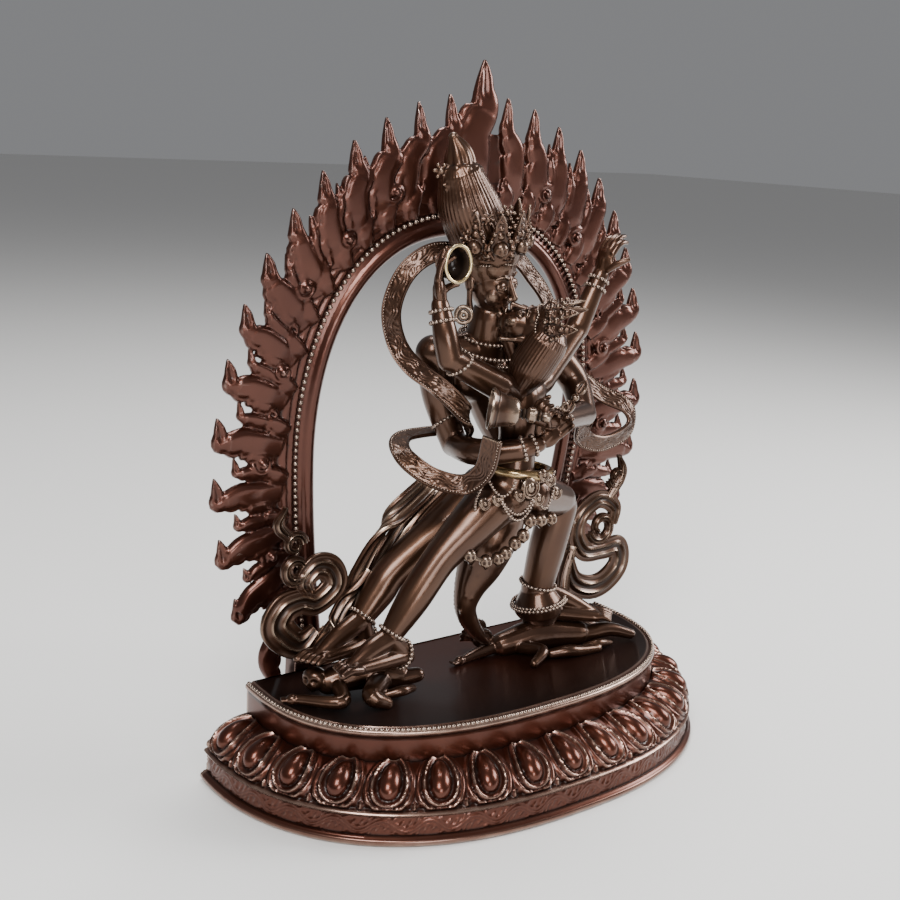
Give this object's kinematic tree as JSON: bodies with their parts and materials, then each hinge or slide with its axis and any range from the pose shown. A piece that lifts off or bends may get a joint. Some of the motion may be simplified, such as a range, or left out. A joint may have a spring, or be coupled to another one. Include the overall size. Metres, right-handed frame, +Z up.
{
  "type": "statue",
  "caption": "Cast copper statue of an embracing pair of striding figures on a half-round lotus base, framed by a pointed flame aureole; stands on its flat underside.",
  "frame": {"origin": "on the underside, on the middle plane of the base, 9.9 mm in front of its flat back", "axes": "+Z up from the underside, +Y out of the flat back, so the figures face -Y, +X to the viewer's right"},
  "size_m": [0.1948, 0.0971, 0.2404],
  "materials": {
    "oxidised_copper": "oxidised copper, dark chocolate brown, satin with rubbed edges",
    "oxidised_copper_red": "oxidised copper, reddish chocolate brown, satin with rubbed edges"
  },
  "bodies": {
    "root": {"lotus_base": "oxidised_copper_red", "flame_aureole": "oxidised_copper_red", "embracing_pair": "oxidised_copper"}
  },
  "joints": []
}
